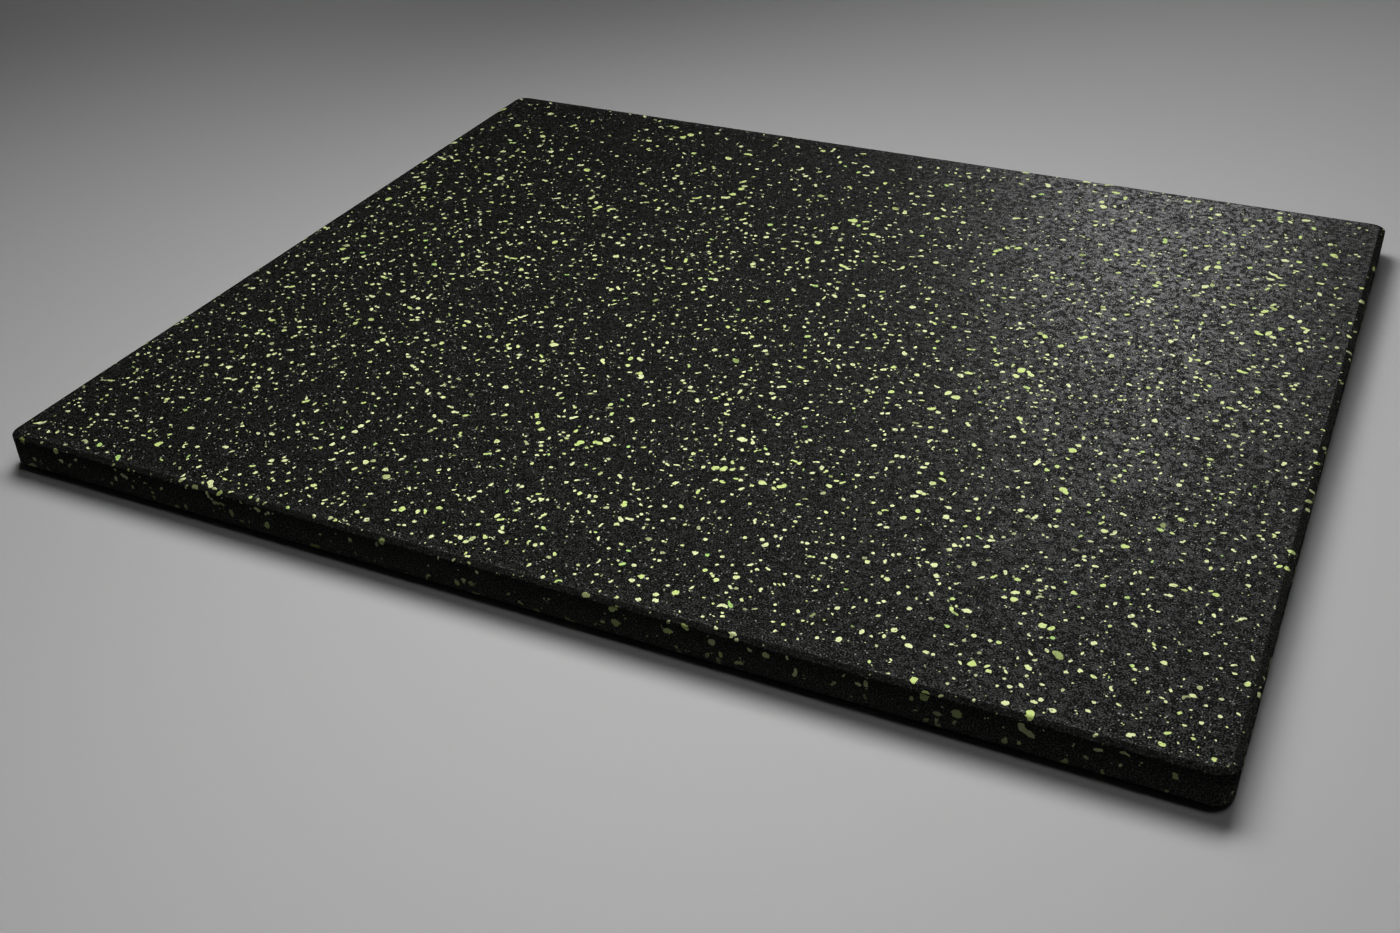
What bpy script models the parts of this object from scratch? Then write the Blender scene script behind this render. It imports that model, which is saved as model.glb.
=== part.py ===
# Modular gym mat: one slab of pressed crumb rubber, flecked with green granules.
# It lies flat on z = 0 with its long sides along X, and its origin is the centre of the underside.
# Lengths are in metres.

import math

import bmesh
import bpy

# The slab
MAT_LENGTH = 1.000
MAT_DEPTH = 0.840
MAT_THICKNESS = 0.030

# Upright corners, measured at the side faces
CORNER_RADIUS = 0.014
CORNER_SEGMENTS = 8

# Flat bevel round the walking face: how far it runs in, and how far it drops
TOP_BEVEL_RUN = 0.005
TOP_BEVEL_DROP = 0.002

# Flat bevel round the underside: how far it runs in, and how far it rises
UNDER_BEVEL_RUN = 0.006
UNDER_BEVEL_RISE = 0.003

# Edges that turn more sharply than this stay crisp, and the round corners are smooth
CRISP_ANGLE = math.radians(18)

RUBBER_COLOUR = (0.012, 0.012, 0.013, 1.0)
RUBBER_ROUGHNESS = 0.62


def clear_scene():
    for obj in list(bpy.data.objects):
        bpy.data.objects.remove(obj, do_unlink=True)


def mat_collection():
    collection = bpy.data.collections.new("modular_gym_mat")
    bpy.context.scene.collection.children.link(collection)
    return collection


def rubber_material():
    material = bpy.data.materials.new("crumb_rubber")
    material.use_nodes = True
    shader = material.node_tree.nodes["Principled BSDF"]
    shader.inputs["Base Color"].default_value = RUBBER_COLOUR
    shader.inputs["Roughness"].default_value = RUBBER_ROUGHNESS
    shader.inputs["Metallic"].default_value = 0.0
    material.diffuse_color = RUBBER_COLOUR
    return material


def add_side_band(bm):
    """The straight upright part of the sides, between the two bevels."""
    band_height = MAT_THICKNESS - TOP_BEVEL_DROP - UNDER_BEVEL_RISE
    band = bmesh.ops.create_cube(bm, size=1.0)
    bmesh.ops.scale(bm, vec=(MAT_LENGTH, MAT_DEPTH, band_height), verts=band["verts"])
    bmesh.ops.translate(bm, vec=(0, 0, UNDER_BEVEL_RISE + band_height / 2), verts=band["verts"])


def round_upright_corners(bm):
    upright = [edge for edge in bm.edges if is_upright(edge)]
    bmesh.ops.bevel(
        bm,
        geom=upright,
        offset=CORNER_RADIUS,
        offset_type="OFFSET",
        segments=CORNER_SEGMENTS,
        profile=0.5,
        affect="EDGES",
    )


def is_upright(edge):
    start, end = (vert.co for vert in edge.verts)
    return math.isclose(start.x, end.x) and math.isclose(start.y, end.y)


def bevel_flat_face(bm, up, run, travel):
    """Insets the top (up = 1) or the underside (up = -1) by run and moves it out by travel."""
    bm.normal_update()
    face = max(bm.faces, key=lambda candidate: up * candidate.normal.z)
    bmesh.ops.inset_region(bm, faces=[face], thickness=run, depth=travel, use_even_offset=True)


def make_slab(collection):
    bm = bmesh.new()
    add_side_band(bm)
    round_upright_corners(bm)
    bevel_flat_face(bm, up=1, run=TOP_BEVEL_RUN, travel=TOP_BEVEL_DROP)
    bevel_flat_face(bm, up=-1, run=UNDER_BEVEL_RUN, travel=UNDER_BEVEL_RISE)

    mesh = bpy.data.meshes.new("mat_slab")
    bm.to_mesh(mesh)
    bm.free()
    mesh.shade_smooth()
    mesh.set_sharp_from_angle(angle=CRISP_ANGLE)

    slab = bpy.data.objects.new("mat_slab", mesh)
    slab.data.materials.append(rubber_material())
    collection.objects.link(slab)
    return slab


clear_scene()
make_slab(mat_collection())
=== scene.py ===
import math

import bpy
import numpy as np
from mathutils import Matrix, Vector


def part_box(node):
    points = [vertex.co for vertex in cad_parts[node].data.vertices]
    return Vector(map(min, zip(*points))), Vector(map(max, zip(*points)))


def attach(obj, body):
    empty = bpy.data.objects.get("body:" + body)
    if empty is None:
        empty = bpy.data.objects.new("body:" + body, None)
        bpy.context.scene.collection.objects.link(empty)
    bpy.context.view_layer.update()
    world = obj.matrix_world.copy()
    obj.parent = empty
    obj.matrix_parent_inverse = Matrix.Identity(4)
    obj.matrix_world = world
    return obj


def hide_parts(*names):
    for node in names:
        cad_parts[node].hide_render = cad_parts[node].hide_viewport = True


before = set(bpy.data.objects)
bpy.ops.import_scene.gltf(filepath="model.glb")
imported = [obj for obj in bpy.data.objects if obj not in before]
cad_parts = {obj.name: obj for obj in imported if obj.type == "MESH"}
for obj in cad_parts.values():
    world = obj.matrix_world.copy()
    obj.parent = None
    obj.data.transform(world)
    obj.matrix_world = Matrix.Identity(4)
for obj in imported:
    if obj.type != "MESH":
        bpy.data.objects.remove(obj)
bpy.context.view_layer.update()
slabLow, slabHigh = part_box("mat_slab")
print("frame loaded")


# Shader wiring: a wire is a socket with arithmetic, and a graph makes the nodes
class Wire:
    def __init__(self, graph, socket):
        self.graph = graph
        self.socket = socket

    def __add__(self, other):
        return self.graph.maths("ADD", self, other)

    def __sub__(self, other):
        return self.graph.maths("SUBTRACT", self, other)

    def __mul__(self, other):
        return self.graph.maths("MULTIPLY", self, other)

    def __rsub__(self, other):
        return self.graph.maths("SUBTRACT", other, self)

    def __lt__(self, other):
        return self.graph.maths("LESS_THAN", self, other)

    def __gt__(self, other):
        return self.graph.maths("GREATER_THAN", self, other)

    def __pow__(self, other):
        return self.graph.maths("POWER", self, other)

    def __rpow__(self, other):
        return self.graph.maths("POWER", other, self)

    __radd__ = __add__
    __rmul__ = __mul__


class Graph:
    def __init__(self, name):
        self.material = bpy.data.materials.new(name)
        self.material.use_nodes = True
        self.tree = self.material.node_tree
        self.shader = self.tree.nodes["Principled BSDF"]

    def node(self, kind, settings=None, sockets=None, output=0):
        made = self.tree.nodes.new("ShaderNode" + kind)
        for name, value in (settings or {}).items():
            if name == "stops":
                self.setStops(made.color_ramp, value)
            else:
                setattr(made, name, value)
        for key, value in (sockets or {}).items():
            self.feed(made.inputs[key], value)
        return Wire(self, made.outputs[output])

    def setStops(self, ramp, stops):
        while len(ramp.elements) < len(stops):
            ramp.elements.new(1)
        for element, (place, colour) in zip(ramp.elements, stops):
            element.position = place
            element.color = colour

    def feed(self, socket, value):
        if isinstance(value, Wire):
            self.tree.links.new(value.socket, socket)
        else:
            socket.default_value = value

    def maths(self, operation, first, second):
        return self.node("Math", {"operation": operation}, {0: first, 1: second})

    def mix(self, factor, first, second):
        settings = {"data_type": "RGBA"}
        return self.node("Mix", settings, {0: factor, 6: first, 7: second}, output=2)

    def finish(self, **looks):
        for name, value in looks.items():
            self.feed(self.shader.inputs[name.replace("_", " ")], value)
        return self.material


def clearSelection():
    if bpy.context.object and bpy.context.object.mode != "OBJECT":
        bpy.ops.object.mode_set(mode="OBJECT")
    bpy.ops.object.select_all(action="DESELECT")


def makeActive(piece):
    clearSelection()
    piece.select_set(True)
    bpy.context.view_layer.objects.active = piece


def applyAll(piece):
    makeActive(piece)
    for name in [modifier.name for modifier in piece.modifiers]:
        bpy.ops.object.modifier_apply(modifier=name)


# Black crumb rubber
rubber = {
    "tones": [(0.26, 0.002), (0.38, 0.006), (0.50, 0.0125),
              (0.62, 0.028), (0.74, 0.075), (0.90, 0.18)],
    "cast": (1, 1.03, 0.94),        # the black is a little green
    "toneShares": {"grain": 1.25, "clump": 0.15, "crumb": 0.06},
    "toneDrop": 0.335,              # more is blacker
    "grainSize": 0.0012,
    "clumpSize": 0.0045,
    "crumbSize": 0.0045,
    "reliefShares": {"grain": 1.2, "clump": 1.0, "edge": 0.5},
    "relief": 0.0006,
    "sideRelief": 0.0003,
    "roughness": (0.30, 0.60),
    "faceSheen": 0.04,
    "shineShares": {"grain": 0.45, "clump": 0.55},
    "gloss": (0.485, 11),           # past the first number it shines, and the second is how fast
    "glossRoughness": 0.38,
    "sideGrain": 0.5,               # the sides are smoother than the face
    "sideLift": (0.0, 0.25),        # paler all over, and more so towards the floor: painted light against the shade at the foot
    "edgeReach": 0.020,             # the walking face is paler this close to its long edges
    "edgeLift": 0.13,
    "wornLift": 0.05,               # along the arrises
    "speck": (0.32, 0.33, 0.29, 1),
    "speckCell": 0.0015625,
    "speckShare": 0.03,             # of the cells, the ones that have a pale speck
    "speckReach": 0.40,             # of a cell
}


def black(level):
    red, green, blue = rubber["cast"]
    return (level * red, level * green, level * blue, 1)


def edgeWear(g, place):
    # 0 inside the walking face and 1 at its long edges
    y = g.node("SeparateXYZ", {}, {0: place}, output=1)
    reach = rubber["edgeReach"]
    past = g.maths("ABSOLUTE", y, 0) - (slabHigh.y - reach)
    return g.node("Math", {"operation": "MULTIPLY", "use_clamp": True}, {0: past, 1: 1 / reach})


def sideTone(g, place, tone):
    # Less grain than the face, blacker at the top and paler at the foot: painted light and shade,
    # keeping the bevels dark and lifting the shaded foot
    height = g.node("SeparateXYZ", {}, {0: place}, output=2)
    down = (slabHigh.z - height) * (1 / (slabHigh.z - slabLow.z))
    share = rubber["sideGrain"]
    lift, paintedFootLight = rubber["sideLift"]
    return tone * share + down * paintedFootLight + (0.5 * (1 - share) + lift)


def rubberMaterial(name, isFace):
    g = Graph(name)
    place = g.node("TexCoord", output=3)
    grain = g.node("TexNoise", {}, {"Vector": place, "Scale": 1 / rubber["grainSize"], "Detail": 0})
    clump = g.node("TexNoise", {}, {"Vector": place, "Scale": 1 / rubber["clumpSize"], "Detail": 2})
    crumb = {"Vector": place, "Scale": 1 / rubber["crumbSize"]}
    crumbEdge = g.node("TexVoronoi", {}, crumb)
    crumbShade = g.node("SeparateColor", {}, {"Color": g.node("TexVoronoi", {}, crumb, output=1)})
    shares = rubber["reliefShares"]
    height = grain * shares["grain"] + clump * shares["clump"] - crumbEdge * shares["edge"]
    relief = rubber["relief"] if isFace else rubber["sideRelief"]
    bump = g.node("Bump", {}, {"Strength": 1.0, "Distance": relief, "Height": height})

    worn = g.node("Attribute", {"attribute_name": "worn"}, output=2)
    shares = rubber["toneShares"]
    tone = grain * shares["grain"] + clump * shares["clump"] + crumbShade * shares["crumb"]
    tone = tone + worn * rubber["wornLift"] - rubber["toneDrop"]
    if isFace:
        tone = tone + edgeWear(g, place) ** 2 * rubber["edgeLift"]
    else:
        tone = sideTone(g, place, tone)
    stops = [(stop, black(level)) for stop, level in rubber["tones"]]
    base = g.node("ValToRGB", {"stops": stops}, {"Fac": tone})

    smooth, rough = rubber["roughness"]
    roughness = crumbShade * (rough - smooth) + smooth
    if not isFace:                  # the pressed sides are dull
        return g.finish(
            Base_Color=base,
            Roughness=roughness,
            Specular_IOR_Level=0.0,
            Normal=bump,
        )

    cells = {"Vector": place, "Scale": 1 / rubber["speckCell"]}
    speckCell = g.node("TexVoronoi", {}, cells, output=1)
    speckDistance = g.node("TexVoronoi", {}, cells)
    chosen = g.node("SeparateColor", {}, {"Color": speckCell}, output=1) < rubber["speckShare"]
    colour = g.mix(chosen * (speckDistance < rubber["speckReach"]), base, rubber["speck"])
    dullest, contrast = rubber["gloss"]
    shares = rubber["shineShares"]
    shine = grain * shares["grain"] + clump * shares["clump"] - dullest
    shine = g.node("Math", {"operation": "MULTIPLY", "use_clamp": True}, {0: shine, 1: contrast})
    return g.finish(
        Base_Color=colour,
        Roughness=roughness,
        Specular_IOR_Level=rubber["faceSheen"],
        Coat_Weight=shine,
        Coat_Roughness=rubber["glossRoughness"],
        Normal=bump,
    )


# The green granules' look
granule = {
    "yellowGreen": (0.79, 0.845, 0.44, 1),
    "lime": (0.63, 0.77, 0.25, 1),
    "green": (0.44, 0.70, 0.19, 1),
    "pale": (0.46, 0.50, 0.34, 1),
    "tints": [(0.0, "pale"), (0.12, "yellowGreen"), (0.55, "yellowGreen"),
              (0.80, "lime"), (1.0, "green")],
    # the smear colour is also what the painted shade of the side granules mixes towards
    "smear": (0.07, 0.09, 0.025, 1),
    "smearStops": (0.60, 0.70),
    "smearShare": 0.7,
    "smearScale": 420,
    "film": 0.70,                   # how much the granules darken: a rubber film on some of the walking face, painted shade on the sides
    "relief": 0.00012,
    "reliefScale": 900,
    "roughness": 0.6,
    "sheen": 0.3,
}


def granuleMaterial():
    g = Graph("green_granule")
    place = g.node("TexCoord", output=3)
    tint = g.node("Attribute", {"attribute_name": "tint"}, output=2)
    stops = [(stop, granule[name]) for stop, name in granule["tints"]]
    colour = g.node("ValToRGB", {"stops": stops}, {"Fac": tint})
    cloud = g.node("TexNoise", {}, {"Vector": place, "Scale": granule["smearScale"], "Detail": 3})
    clean, smeared = granule["smearStops"]
    stops = [(clean, (0, 0, 0, 1)), (smeared, (1, 1, 1, 1))]
    smear = g.node("ValToRGB", {"stops": stops}, {"Fac": cloud})
    colour = g.mix(smear * granule["smearShare"], colour, granule["smear"])
    # A rubber film dulls some granules of the walking face, and painted shade darkens those of the
    # sides
    film = g.node("Attribute", {"attribute_name": "film"}, output=2)
    colour = g.mix(film * granule["film"], colour, granule["smear"])
    fine = g.node("TexNoise", {}, {"Vector": place, "Scale": granule["reliefScale"], "Detail": 2})
    bump = g.node("Bump", {}, {"Strength": 1.0, "Distance": granule["relief"], "Height": fine})
    return g.finish(
        Base_Color=colour,
        Roughness=granule["roughness"],
        Specular_IOR_Level=granule["sheen"],
        Normal=bump,
    )


faceLook = rubberMaterial("crumb_rubber", True)
sideLook = rubberMaterial("crumb_rubber_side", False)
granuleLook = granuleMaterial()
print("materials made")


# The slab of crumb rubber
body = {
    "cornerRadius": 0.014,
    "cornerSteps": 10,
    "topBevel": (0.005, 0.002),     # in and down
    "underBevel": (0.006, 0.003),   # in and up
    "bevelRows": 3,
    "underGap": 0.0001,             # keeps the underside's granules off the floor
    "flatUnder": 0.0005,            # up to this height the underside stays flat
    "arrisRound": 0.0006,
    "arrisAngle": 15,               # sharper edges than this are rounded
    "edgeCuts": (19, 24),           # two rounds of cuts along each long side
    "endCuts": (19, 20),
    "sideRows": 11,
    "faceGrid": (214, 180),
    "faceRings": (0.0015, 0.0025, 0.004),
    "gridGap": 0.003,
    "underRing": 0.009,
    "faceDepth": 0.00001,           # what is lower has the look of the sides
    "crumbRelief": 0.00022,
    "crumbScale": 0.0035,
    "longest": 0.1,                 # longer edges than this are the outline's straight runs
    "tallest": 0.01,                # taller ones stand in the sides
}


def selectWhere(piece, part, test):
    bpy.ops.object.mode_set(mode="OBJECT")
    mesh = piece.data
    for group in (mesh.vertices, mesh.edges, mesh.polygons):
        group.foreach_set("select", [False] * len(group))
    for item in getattr(mesh, part):
        item.select = test(mesh, item)
    bpy.ops.object.mode_set(mode="EDIT")


def edgeEnds(mesh, edge):
    return [mesh.vertices[index].co for index in edge.vertices]


def facing(direction):
    # The many-sided face that closes the outline above or below
    def test(mesh, face):
        return len(face.vertices) > 4 and face.normal.z * direction > 0.9
    return test


def longAlong(axis):
    def test(mesh, edge):
        start, end = edgeEnds(mesh, edge)
        return abs(start[axis] - end[axis]) > body["longest"]
    return test


def upright(mesh, edge):
    start, end = edgeEnds(mesh, edge)
    return abs(start.z - end.z) > body["tallest"]


def makeOutline(size, height):
    clearSelection()
    bpy.ops.mesh.primitive_plane_add(size=1, location=(0, 0, height))
    slab = bpy.context.object
    slab.name = "mat_body"
    slab.scale = (size.x, size.y, 1)
    bpy.ops.object.transform_apply(location=True, scale=True)

    bpy.ops.object.mode_set(mode="EDIT")
    bpy.ops.mesh.select_mode(type="VERT")
    bpy.ops.mesh.select_all(action="SELECT")
    bpy.ops.mesh.bevel(offset=body["cornerRadius"], segments=body["cornerSteps"], affect="VERTICES")
    bpy.ops.mesh.delete(type="ONLY_FACE")   # a bare outline takes cuts without splitting its face
    bpy.ops.mesh.select_mode(type="EDGE")
    for axis, cuts in ((0, body["edgeCuts"]), (1, body["endCuts"])):
        selectWhere(slab, "edges", longAlong(axis))
        bpy.ops.mesh.subdivide(number_cuts=cuts[0])
        bpy.ops.mesh.subdivide(number_cuts=cuts[1])
    bpy.ops.mesh.select_all(action="SELECT")
    bpy.ops.mesh.edge_face_add()
    return slab


def raiseSides(slab, height):
    bpy.ops.mesh.select_mode(type="FACE")
    bpy.ops.mesh.select_all(action="SELECT")
    bpy.ops.mesh.extrude_region_move(TRANSFORM_OT_translate={"value": (0, 0, height)})
    bpy.ops.mesh.select_mode(type="EDGE")
    selectWhere(slab, "edges", upright)
    bpy.ops.mesh.subdivide(number_cuts=body["sideRows"])


def addBevels(slab, bevels):
    bpy.ops.mesh.select_mode(type="FACE")
    rows = body["bevelRows"]
    for direction, run, travel in bevels:
        selectWhere(slab, "polygons", facing(direction))
        for _ in range(rows):
            bpy.ops.mesh.inset(thickness=run / rows, depth=travel / rows)
    bpy.ops.mesh.inset(thickness=body["underRing"], depth=0)


def addFaceGrid(slab, size, inset):
    # Rings along the edges, then a grid in place of the rest of the walking face
    columns, rows = body["faceGrid"]
    selectWhere(slab, "polygons", facing(1))
    for ring in body["faceRings"]:
        bpy.ops.mesh.inset(thickness=ring, depth=0)
    bpy.ops.mesh.delete(type="FACE")
    bpy.ops.mesh.select_all(action="DESELECT")
    bpy.ops.mesh.primitive_grid_add(
        x_subdivisions=columns, y_subdivisions=rows, size=1, location=(0, 0, slabHigh.z))
    reach = (size.x - 2 * inset, size.y - 2 * inset, 1)
    bpy.ops.transform.resize(value=reach, center_override=(0, 0, slabHigh.z))
    bpy.ops.mesh.select_mode(type="EDGE")
    bpy.ops.mesh.select_all(action="DESELECT")
    bpy.ops.mesh.select_non_manifold(extend=False, use_wire=False, use_multi_face=False,
                                     use_non_contiguous=False, use_verts=False)
    bpy.ops.mesh.bridge_edge_loops()


def markArrises(mesh):
    # The bevel leaves the faces of the arrises selected
    worn = [float(point.select) for point in mesh.vertices]
    mesh.attributes.new("worn", "FLOAT", "POINT").data.foreach_set("value", worn)


def roundArrises(slab):
    bpy.ops.mesh.select_all(action="DESELECT")
    bpy.ops.mesh.edges_select_sharp(sharpness=math.radians(body["arrisAngle"]))
    bpy.ops.mesh.bevel(offset=body["arrisRound"], segments=2, affect="EDGES")
    bpy.ops.object.mode_set(mode="OBJECT")
    markArrises(slab.data)


def makeSlab():
    size = slabHigh - slabLow
    underRun, underRise = body["underBevel"]
    topRun, topDrop = body["topBevel"]
    slab = makeOutline(size, slabLow.z + underRise)
    raiseSides(slab, size.z - underRise - topDrop)
    addBevels(slab, ((1, topRun, topDrop), (-1, underRun, underRise - body["underGap"])))
    addFaceGrid(slab, size, topRun + sum(body["faceRings"]) + body["gridGap"])
    roundArrises(slab)
    return slab


def colourSlab(mesh):
    mesh.materials.append(faceLook)
    mesh.materials.append(sideLook)
    for face in mesh.polygons:
        # The bevels take the side look as well, with its painted light and shade
        face.material_index = int(face.center.z < slabHigh.z - body["faceDepth"])


def addCrumbRelief(slab):
    heights = np.array([point.co.z for point in slab.data.vertices])
    rough = slab.vertex_groups.new(name="rough")   # all but the flat underside
    rough.add(np.flatnonzero(heights > slabLow.z + body["flatUnder"]).tolist(), 1.0, "REPLACE")
    texture = bpy.data.textures.new("crumb", "CLOUDS")
    texture.noise_scale = body["crumbScale"]
    texture.noise_depth = 1
    relief = slab.modifiers.new("crumb", "DISPLACE")
    relief.texture = texture
    relief.strength = body["crumbRelief"]
    relief.mid_level = 0.5
    relief.vertex_group = rough.name
    applyAll(slab)
    makeActive(slab)
    bpy.ops.object.shade_smooth()


slab = makeSlab()
colourSlab(slab.data)
addCrumbRelief(slab)
print("slab made")
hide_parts("mat_slab")
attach(slab, "root")


# The granules: each is a strip of faces of its own shape, wrapped on the slab and made thick
granules = {
    "seed": 41,
    "faceCount": 4700,
    "underCount": 1300,
    "rimCount": 600,
    "rimGrowth": 1.3,
    "shadeDepth": 0.0004,              # this far below the walking face, painted shade darkens them all
    "backGrowth": 0.45,             # towards the back they are larger by this share
    "backThinning": 0.68,           # and fewer by this one
    "size": 0.0027,                 # across, for a round one: the middle value
    "sizeSpread": 0.33,
    "sizeLimits": (0.0016, 0.0078),
    "tint": (0.5, 0.2),             # its middle value and its spread, and 1 is the greenest
    "leastTint": 0.12,
    "sizeTint": 60,                 # what a metre over the middle size adds to it
    "largeTint": 0.8,               # but not past this
    "paleShare": 0.3,               # of the specks
    "paleTint": 0.1,
    "fineSize": 0.0033,             # up to this size a granule has fewer faces
    "speckCount": 2800,
    "rimSpeckCount": 560,
    "speckSize": (0.0009, 0.0016),
    "filmShare": 0.12,              # granules of the walking face that rubber partly hides
    "faceFilm": (0.3, 1),
    # painted shade on the granules of the sides
    "sideShade": (0.75, 1.2),
    "tries": 12,                    # before a granule that finds no room is left out
    "searchCell": 0.014,
    "pairShare": 0.10,
    "pairReach": (0.52, 0.8),       # between the middles of a pair, in sums of their sizes
    "gap": 0.0038,                  # between granules that aren't a pair
    "pairGap": 0.0004,
    "speckGap": 0.0012,
    "rimReach": 0.011,              # the rim's granules start this far in from the sides
    "rimMargin": 0.009,             # and its profile this much farther
    "underMargin": 0.012,
    "tightest": 0.0004,             # the least radius of the outline at a corner
    "endReach": 0.93,               # how near to their points the ends of a strip are
    "waistPlace": 0.25,
    "waistWidth": 0.3,
    "mostTurn": 0.26,               # for each column, because a short strip would fold
    "mostWobble": 1.5,
    "creaseAngle": 40,
    "strips": {"coarse": (6, 3), "fine": (4, 3), "speck": (3, 2), "rim": (6, 4)},
    "lift": 0.00006,
    "crown": 0.00012,
    "thickness": 0.0006,
}
granuleKinds = {
    "blob": {"share": 0.48, "aspect": (1.0, 2.3), "bend": 0.4,
             "neck": 0.0, "taper": 0.3, "ragged": 0.19},
    "pair": {"share": 0.16, "aspect": (1.7, 2.6), "bend": 0.6,
             "neck": 0.5, "taper": 0.3, "ragged": 0.12},
    "hook": {"share": 0.12, "aspect": (2.2, 3.6), "bend": 1.7,
             "neck": 0.2, "taper": 0.4, "ragged": 0.20},
    "shard": {"share": 0.24, "aspect": (1.1, 2.2), "bend": 0.2,
              "neck": 0.0, "taper": 0.7, "ragged": 0.26},
}


def stripPoints(rng, kind, columns, rows):
    look = granuleKinds[kind]
    along = np.linspace(-1, 1, columns)
    across = np.linspace(-1, 1, rows)
    aspect = rng.uniform(*look["aspect"])
    width = np.sqrt(1 - (granules["endReach"] * along) ** 2)
    width = width * (1 + look["taper"] * rng.uniform(-1, 1) * along)
    waist = rng.uniform(-granules["waistPlace"], granules["waistPlace"])
    width = width * (1 - look["neck"] * np.exp(-((along - waist) / granules["waistWidth"]) ** 2))
    turn = min(look["bend"], granules["mostTurn"] * columns) * rng.uniform(-1, 1) * along
    spine = np.cumsum(np.stack([np.cos(turn), np.sin(turn)], 1), axis=0) * (2 * aspect / columns)
    sideways = np.stack([-np.sin(turn), np.cos(turn)], 1)
    most = granules["mostWobble"]
    wobble = np.clip(rng.normal(size=(columns, rows)), -most, most)
    reach = width[:, None] * across * (1 + look["ragged"] * wobble)
    points = spine[:, None] + sideways[:, None] * reach[:, :, None]
    rim = np.concatenate([points[:, 0], points[-1, 1:], points[-2::-1, -1], points[0, -2:0:-1]])
    ahead = np.roll(rim, -1, axis=0)
    area = abs((rim[:, 0] * ahead[:, 1] - ahead[:, 0] * rim[:, 1]).sum()) / 2
    points = (points - rim.mean(0)).reshape(-1, 2) * math.sqrt(math.pi / 4 / area)
    angle = rng.uniform(0, 2 * math.pi)
    c, s = math.cos(angle), math.sin(angle)
    return points @ np.array([[c, s], [-s, c]])   # covers as much as a disc 1 across


def stripFaces(first, columns, rows):
    corners = [first + column * rows + row
               for column in range(columns - 1) for row in range(rows - 1)]
    return [(corner, corner + rows, corner + rows + 1, corner + 1) for corner in corners]


def outlinePlaces(along, inset):
    # Anticlockwise from the front left, with each point moved in by its inset
    radius = body["cornerRadius"]
    reachX, reachY = slabHigh.x - radius, slabHigh.y - radius
    corners = np.array([(-reachX, -reachY), (reachX, -reachY), (reachX, reachY), (-reachX, reachY)])
    straights = np.array([2 * reachX, 2 * reachY] * 2)
    starts = np.concatenate([[0], np.cumsum(straights + radius * math.pi / 2)])
    along = along % starts[-1]
    side = np.searchsorted(starts, along, side="right") - 1
    past = along - starts[side]
    straight = np.minimum(past, straights[side])
    heading = side * math.pi / 2
    turned = heading + (past - straight) / radius
    ahead = np.stack([np.cos(heading), np.sin(heading)], 1)
    outward = np.stack([np.sin(turned), -np.cos(turned)], 1)
    left = np.maximum(radius - inset, granules["tightest"])
    return corners[side] + ahead * straight[:, None] + outward * left[:, None]


def outlineLength():
    radius = body["cornerRadius"]
    return 4 * (slabHigh.x + slabHigh.y - 2 * radius) + 2 * math.pi * radius


def rimProfile():
    topRun, topDrop = body["topBevel"]
    underRun, underRise = body["underBevel"]
    inner = granules["rimReach"] + granules["rimMargin"]
    stops = np.array([(inner, slabHigh.z), (topRun, slabHigh.z), (0, slabHigh.z - topDrop),
                      (0, slabLow.z + underRise), (underRun, slabLow.z), (inner, slabLow.z)])
    steps = np.hypot(*np.diff(stops, axis=0).T)
    return np.concatenate([[0], np.cumsum(steps)]), stops


def onFace(points):
    return np.column_stack([points, np.full(len(points), slabHigh.z)])


def onUnderside(points):
    height = slabLow.z + body["underGap"] - granules["lift"]
    return np.column_stack([points[:, 0], -points[:, 1], np.full(len(points), height)])


def onRim(points):
    lengths, stops = rimProfile()
    down = lengths[-1] - points[:, 1]
    inset = np.interp(down, lengths, stops[:, 0])
    height = np.interp(down, lengths, stops[:, 1])
    return np.column_stack([outlinePlaces(points[:, 0], inset), height])


def isFree(taken, place, radius, gap):
    cell = [int(c // granules["searchCell"]) for c in place]
    for dx in (-1, 0, 1):
        for dy in (-1, 0, 1):
            for dz in (-1, 0, 1):
                for other, otherRadius in taken.get((cell[0] + dx, cell[1] + dy, cell[2] + dz), ()):
                    if math.dist(other, place) < radius + otherRadius + gap:
                        return False
    taken.setdefault(tuple(cell), []).append((place, radius))
    return True


def granuleSizes(rng, count):
    sizes = granules["size"] * np.exp(granules["sizeSpread"] * rng.normal(size=count))
    return np.sort(np.clip(sizes, *granules["sizeLimits"]))[::-1]


def scatter(rng, sizes, area, wrap, taken, gap):
    (lowU, lowV), (highU, highV) = area
    placed, loners = [], []
    for size in sizes:
        for _ in range(granules["tries"]):
            centre = np.array([rng.uniform(lowU, highU), rng.uniform(lowV, highV)])
            paired = bool(loners) and rng.random() < granules["pairShare"]
            if paired:
                near, nearSize = loners[rng.integers(len(loners))]
                angle = rng.uniform(0, 2 * math.pi)
                reach = rng.uniform(*granules["pairReach"])
                apart = (size + nearSize) * reach + granules["pairGap"]
                centre = near + apart * np.array([math.cos(angle), math.sin(angle)])
            inside = lowU <= centre[0] <= highU and lowV <= centre[1] <= highV
            spot = tuple(wrap(centre[None])[0])
            back = min(max(spot[1] / slabHigh.y, 0), 1)
            if rng.random() < granules["backThinning"] * back:
                break
            grown = size * (1 + granules["backGrowth"] * back)
            room = granules["pairGap"] if paired else gap
            if inside and isFree(taken, spot, grown / 2, room):
                placed.append((centre, grown))
                if not paired:
                    loners.append((centre, grown))
                break
    return placed


def granuleTint(rng, size):
    if size < granules["sizeLimits"][0] and rng.random() < granules["paleShare"]:
        return rng.uniform(0, granules["paleTint"])
    tint = float(np.clip(rng.normal(*granules["tint"]), granules["leastTint"], 1))
    greener = tint + granules["sizeTint"] * max(size - granules["size"], 0)
    return max(tint, min(greener, granules["largeTint"]))


def granuleFilmAndShade(heights, onTop, onSide):
    # Painted shade darkens every granule of the sides, and a rubber film dulls some of the walking
    # face
    down = np.clip((slabHigh.z - heights) / granules["shadeDepth"], 0, 1)
    return onTop + (onSide - onTop) * down * (heights > slabLow.z + body["flatUnder"])


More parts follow.
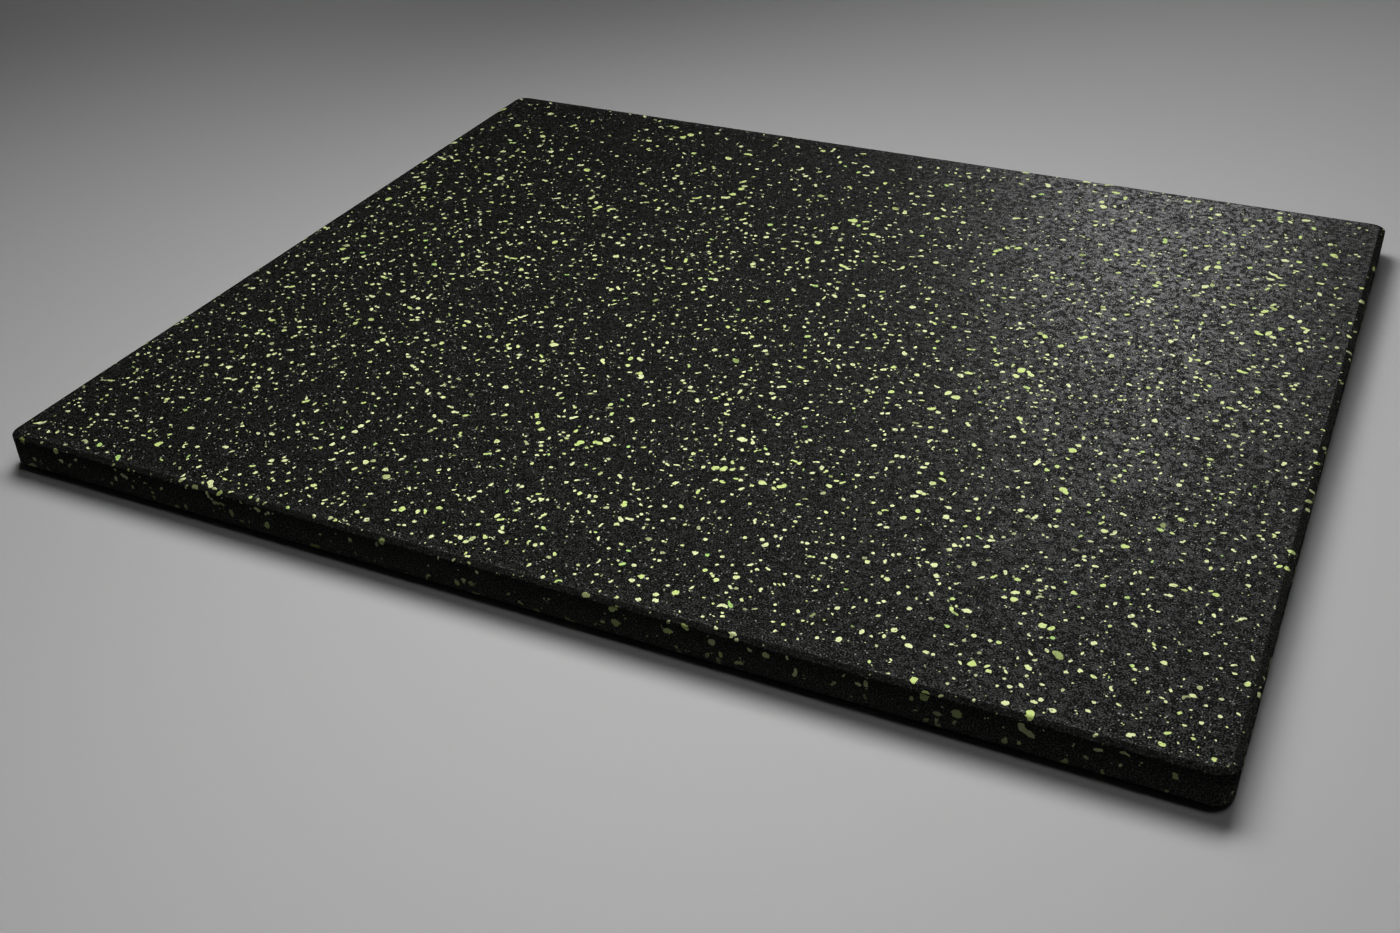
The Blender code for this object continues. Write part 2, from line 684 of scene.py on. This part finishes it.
def makeGranules(name, rng, placed, wrap, detail):
    kinds = list(granuleKinds)
    shares = np.array([granuleKinds[kind]["share"] for kind in kinds])
    points, faces, tints, filmsAndShade, crowns = [], [], [], [], []
    for centre, size in placed:
        isSpeck = size < granules["sizeLimits"][0]
        columns, rows = granules["strips"]["speck"] if isSpeck else detail
        kind = "blob" if isSpeck else kinds[rng.choice(len(kinds), p=shares)]
        faces += stripFaces(len(tints), columns, rows)
        points.append(wrap(centre + size * stripPoints(rng, kind, columns, rows)))
        tint = granuleTint(rng, size)
        tints += [tint] * (columns * rows)
        hidden = rng.random() < granules["filmShare"]
        onTop = rng.uniform(*granules["faceFilm"]) * hidden
        filmsAndShade.append(granuleFilmAndShade(points[-1][:, 2], onTop, rng.uniform(*granules["sideShade"])))
        crowns += [0 < column < columns - 1 and 0 < row < rows - 1
                   for column in range(columns) for row in range(rows)]

    mesh = bpy.data.meshes.new(name)
    mesh.from_pydata(np.concatenate(points).tolist(), [], faces)
    mesh.attributes.new("tint", "FLOAT", "POINT").data.foreach_set("value", tints)
    mesh.attributes.new("film", "FLOAT", "POINT").data.foreach_set("value", np.concatenate(filmsAndShade))
    piece = bpy.data.objects.new(name, mesh)
    bpy.context.scene.collection.objects.link(piece)
    offFloor = np.concatenate(points)[:, 2] > slabLow.z + body["flatUnder"]
    crown = piece.vertex_groups.new(name="crown")
    crown.add(np.flatnonzero(np.array(crowns) & offFloor).tolist(), 1.0, "REPLACE")

    if wrap != onUnderside:         # the underside is flat already
        hug = piece.modifiers.new("hug", "SHRINKWRAP")
        hug.target = slab
        hug.wrap_mode = "ABOVE_SURFACE"
        hug.offset = granules["lift"]
    dome = piece.modifiers.new("dome", "DISPLACE")
    dome.strength = granules["crown"]
    dome.mid_level = 0
    dome.vertex_group = crown.name
    thick = piece.modifiers.new("thick", "SOLIDIFY")
    thick.thickness = granules["thickness"]
    thick.offset = -1
    applyAll(piece)
    makeActive(piece)
    bpy.ops.object.shade_smooth_by_angle(angle=math.radians(granules["creaseAngle"]))

    mesh.materials.append(granuleLook)
    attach(piece, "root")
    print(name, len(placed), "granules")


rng = np.random.default_rng(granules["seed"])
taken = {}
innerX, innerY = slabHigh.x - granules["rimReach"], slabHigh.y - granules["rimReach"]
faceArea = ((-innerX, -innerY), (innerX, innerY))
rimLength = rimProfile()[0][-1]
rimArea = ((0, granules["underMargin"]), (outlineLength(), rimLength - granules["rimMargin"]))
specks = rng.uniform(*granules["speckSize"], size=granules["speckCount"])

gap, speckGap = granules["gap"], granules["speckGap"]
strips = granules["strips"]
placed = scatter(rng, granuleSizes(rng, granules["faceCount"]), faceArea, onFace, taken, gap)
coarse = [spot for spot in placed if spot[1] > granules["fineSize"]]
fine = [spot for spot in placed if spot[1] <= granules["fineSize"]]
makeGranules("face_granules", rng, coarse, onFace, strips["coarse"])
makeGranules("fine_granules", rng, fine, onFace, strips["fine"])
placed = scatter(rng, specks, faceArea, onFace, taken, speckGap)
makeGranules("face_specks", rng, placed, onFace, strips["speck"])
rimSizes = granuleSizes(rng, granules["rimCount"]) * granules["rimGrowth"]
placed = scatter(rng, rimSizes, rimArea, onRim, taken, gap)
placed += scatter(rng, specks[:granules["rimSpeckCount"]], rimArea, onRim, taken, speckGap)
makeGranules("rim_granules", rng, placed, onRim, strips["rim"])
underSizes = granuleSizes(rng, granules["underCount"])
placed = scatter(rng, underSizes, faceArea, onUnderside, taken, gap)
makeGranules("underside_granules", rng, placed, onUnderside, strips["fine"])


# Floor, lights and camera
studio = {
    "floorSize": 14,
    "floorGrey": 0.45,
    "floorRoughness": 0.9,
    "skyLight": 0.005,
    "lampSize": 1.0,
}
camera = {
    "place": (0.5228, -1.1742, 0.7235),
    "azimuth": 26.500,
    "elevation": 33.564,
    "roll": -2.017,
    "lens": 40.904,
}


def makeCamera():
    data = bpy.data.cameras.new("camera")
    data.sensor_width = 36
    data.lens = camera["lens"]
    shot = bpy.data.objects.new("camera", data)
    bpy.context.scene.collection.objects.link(shot)
    turn = Matrix.Rotation(math.radians(camera["azimuth"]), 4, "Z")
    tilt = Matrix.Rotation(math.radians(90 - camera["elevation"]), 4, "X")
    roll = Matrix.Rotation(math.radians(camera["roll"]), 4, "Z")
    shot.matrix_world = Matrix.Translation(camera["place"]) @ turn @ tilt @ roll
    bpy.context.scene.camera = shot


def makeFloor():
    clearSelection()
    bpy.ops.mesh.primitive_plane_add(size=studio["floorSize"], location=(0, 0, 0))
    floor = bpy.context.object
    floor.name = "studio_floor"
    g = Graph("pale_floor")
    colour = (studio["floorGrey"],) * 3 + (1,)
    rough = studio["floorRoughness"]
    look = g.finish(Base_Color=colour, Roughness=rough, Specular_IOR_Level=0.0)
    floor.data.materials.append(look)


# Where each lamp hangs, as azimuth, elevation and distance from the mat's middle,
# and the place on the floor that it points at
lamps = {
    "key": {"from": (120, 60, 2.6), "to": (0.1, -0.2), "spread": 40, "power": 1.55},
    "keyLow": {"from": (135, 47, 2.6), "to": (0.15, -0.75), "spread": 75, "power": 3.6},
    "front": {"from": (90, 55, 2.6), "to": (0.2, -0.8), "spread": 36, "power": 3.0},
    "top": {"from": (-2.2, 75.8, 2.58), "to": (0.15, -0.75), "spread": 75, "power": 1.25,
            "size": 0.3},
    "left": {"from": (135, 60, 2.6), "to": (-0.7, -0.3), "spread": 40, "power": 1.25},
    "backRight": {"from": (131.3, 61.1, 1.925), "to": (0.9, 0.8), "spread": 75, "power": 2.3},
    "farRight": {"from": (130, 60, 2.6), "to": (1.2, 0.6), "spread": 60, "power": 3.9},
    "backLeft": {"from": (135, 44.2, 3.156), "to": (-1.6, 1.6), "spread": 100, "power": 4.9},
}
sheenLamp = {                       # it stands low behind the mat
    "place": (-0.05, 2.54, 1.175),
    "to": (0.306, 0.234),
    "size": 0.6,
    "spread": 180,
    "power": 7.5,
}


def areaLight(name, place, target, lamp):
    data = bpy.data.lights.new(name, "AREA")
    data.size = lamp.get("size", studio["lampSize"])
    data.spread = math.radians(lamp["spread"])
    data.energy = lamp["power"]
    light = bpy.data.objects.new(name, data)
    bpy.context.scene.collection.objects.link(light)
    light.location = place
    light.rotation_euler = (Vector(target) - Vector(place)).to_track_quat("-Z", "Y").to_euler()
    return light


def hangLamps():
    for name, lamp in lamps.items():
        azimuth, elevation, distance = lamp["from"]
        turn = Matrix.Rotation(math.radians(azimuth), 3, "Z")
        tilt = Matrix.Rotation(math.radians(-elevation), 3, "Y")
        place = turn @ tilt @ Vector((distance, 0, 0))
        soft = areaLight(name, place, (*lamp["to"], 0), lamp)
        soft.visible_glossy = False
    sheen = areaLight("rim", sheenLamp["place"], (*sheenLamp["to"], slabHigh.z), sheenLamp)
    sheen.visible_diffuse = False   # it gives the rubber its sheen and nothing else


makeCamera()
makeFloor()
hangLamps()
world = bpy.data.worlds.new("studio")
world.use_nodes = True
sky = world.node_tree.nodes["Background"].inputs
sky["Color"].default_value = (1, 1, 1, 1)
sky["Strength"].default_value = studio["skyLight"]
bpy.context.scene.world = world
bpy.context.scene.view_settings.view_transform = "Standard"
print("studio set")
